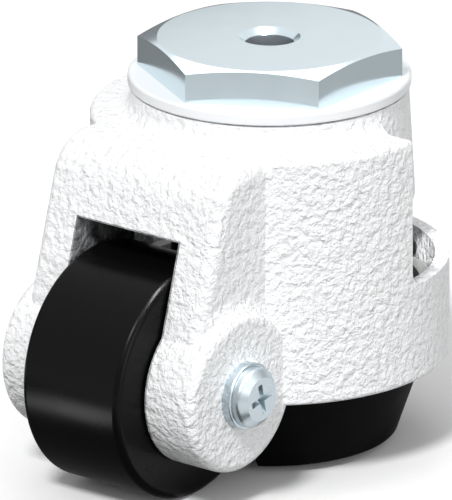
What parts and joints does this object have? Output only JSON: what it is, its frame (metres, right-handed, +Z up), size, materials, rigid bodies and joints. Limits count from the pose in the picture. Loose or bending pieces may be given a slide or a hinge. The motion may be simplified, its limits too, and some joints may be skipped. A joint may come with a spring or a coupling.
{
  "type": "levelling castor",
  "caption": "Swivel castor with a hexagonal threaded head, cast housing, black wheel and a round foot lowered by a finger wheel to lift the wheel off the floor.",
  "frame": {"origin": "centre of the hexagon's top face, on the swivel axis and at the mouth of the tapped hole", "axes": "+Z up along the swivel axis towards the machine, -Y towards the castor wheel, X along the wheel's axle"},
  "size_m": [0.0752, 0.1031, 0.0866],
  "materials": {
    "zinc_plated_steel": "satin zinc plating",
    "cap_white": "smooth white moulding",
    "bearing_steel": "ground bearing steel",
    "bronze": "plain bearing bronze",
    "housing_white": "white powder coat over a rough casting",
    "wheel_nylon": "black nylon, low sheen",
    "axle_steel": "bright turned steel",
    "spacer_nylon": "natural nylon",
    "fastener_steel": "bright zinc plating",
    "plate_steel": "zinc-plated steel",
    "spring_steel": "blackened spring steel",
    "thumbwheel_black": "black moulding",
    "carrier_acetal": "natural white acetal",
    "foot_rubber": "matte black rubber"
  },
  "bodies": {
    "head": {"swivel_head": "zinc_plated_steel", "dust_cap": "cap_white", "lower_race_washer": "bearing_steel", "kingpin_nut": "zinc_plated_steel"},
    "ball_rows": {"upper_balls": "bearing_steel", "lower_balls": "bearing_steel"},
    "housing": {"housing": "housing_white", "upper_race_ring": "bearing_steel", "kingpin_bush": "bronze", "lower_race_seat": "bearing_steel", "axle": "axle_steel", "hub_spacer_right": "spacer_nylon", "hub_spacer_left": "spacer_nylon", "axle_washer_right": "fastener_steel", "axle_washer_left": "fastener_steel", "axle_screw_right": "fastener_steel", "axle_screw_left": "fastener_steel", "adjuster_plate": "plate_steel", "plate_screws": "fastener_steel", "thrust_washer": "bronze", "adjuster_clip": "spring_steel"},
    "wheel": {"wheel": "wheel_nylon", "wheel_bush": "bronze"},
    "adjuster": {"adjuster_nut": "zinc_plated_steel", "thumbwheel": "thumbwheel_black", "thumbwheel_clip": "spring_steel"},
    "foot": {"spindle": "axle_steel", "spindle_clip": "spring_steel", "foot_carrier": "carrier_acetal", "foot_pad": "foot_rubber"}
  },
  "joints": [
    {"name": "swivel", "type": "hinge", "parent": "head", "child": "housing", "pos_m": [0, 0, -0.0127], "axis": [0, 0, 1], "continuous": true},
    {"name": "ball_roll", "type": "hinge", "parent": "head", "child": "ball_rows", "pos_m": [0, 0, -0.0127], "axis": [0, 0, 1], "continuous": true},
    {"name": "wheel_spin", "type": "hinge", "parent": "housing", "child": "wheel", "pos_m": [0, -0.04055, -0.0616], "axis": [1, 0, 0], "continuous": true},
    {"name": "adjuster_turn", "type": "hinge", "parent": "housing", "child": "adjuster", "pos_m": [0, 0.0081, -0.0484], "axis": [0, 0, 1], "range_deg": [0, 2160]},
    {"name": "foot_slide", "type": "slide", "parent": "housing", "child": "foot", "axis": [0, 0, -1], "range_m": [0, 0.012]}
  ],
  "couplings": [
    {"joint": "ball_roll", "follows": "swivel", "ratio": 0.5},
    {"joint": "adjuster_turn", "follows": "foot_slide", "rad_per_m": 3141.6}
  ]
}
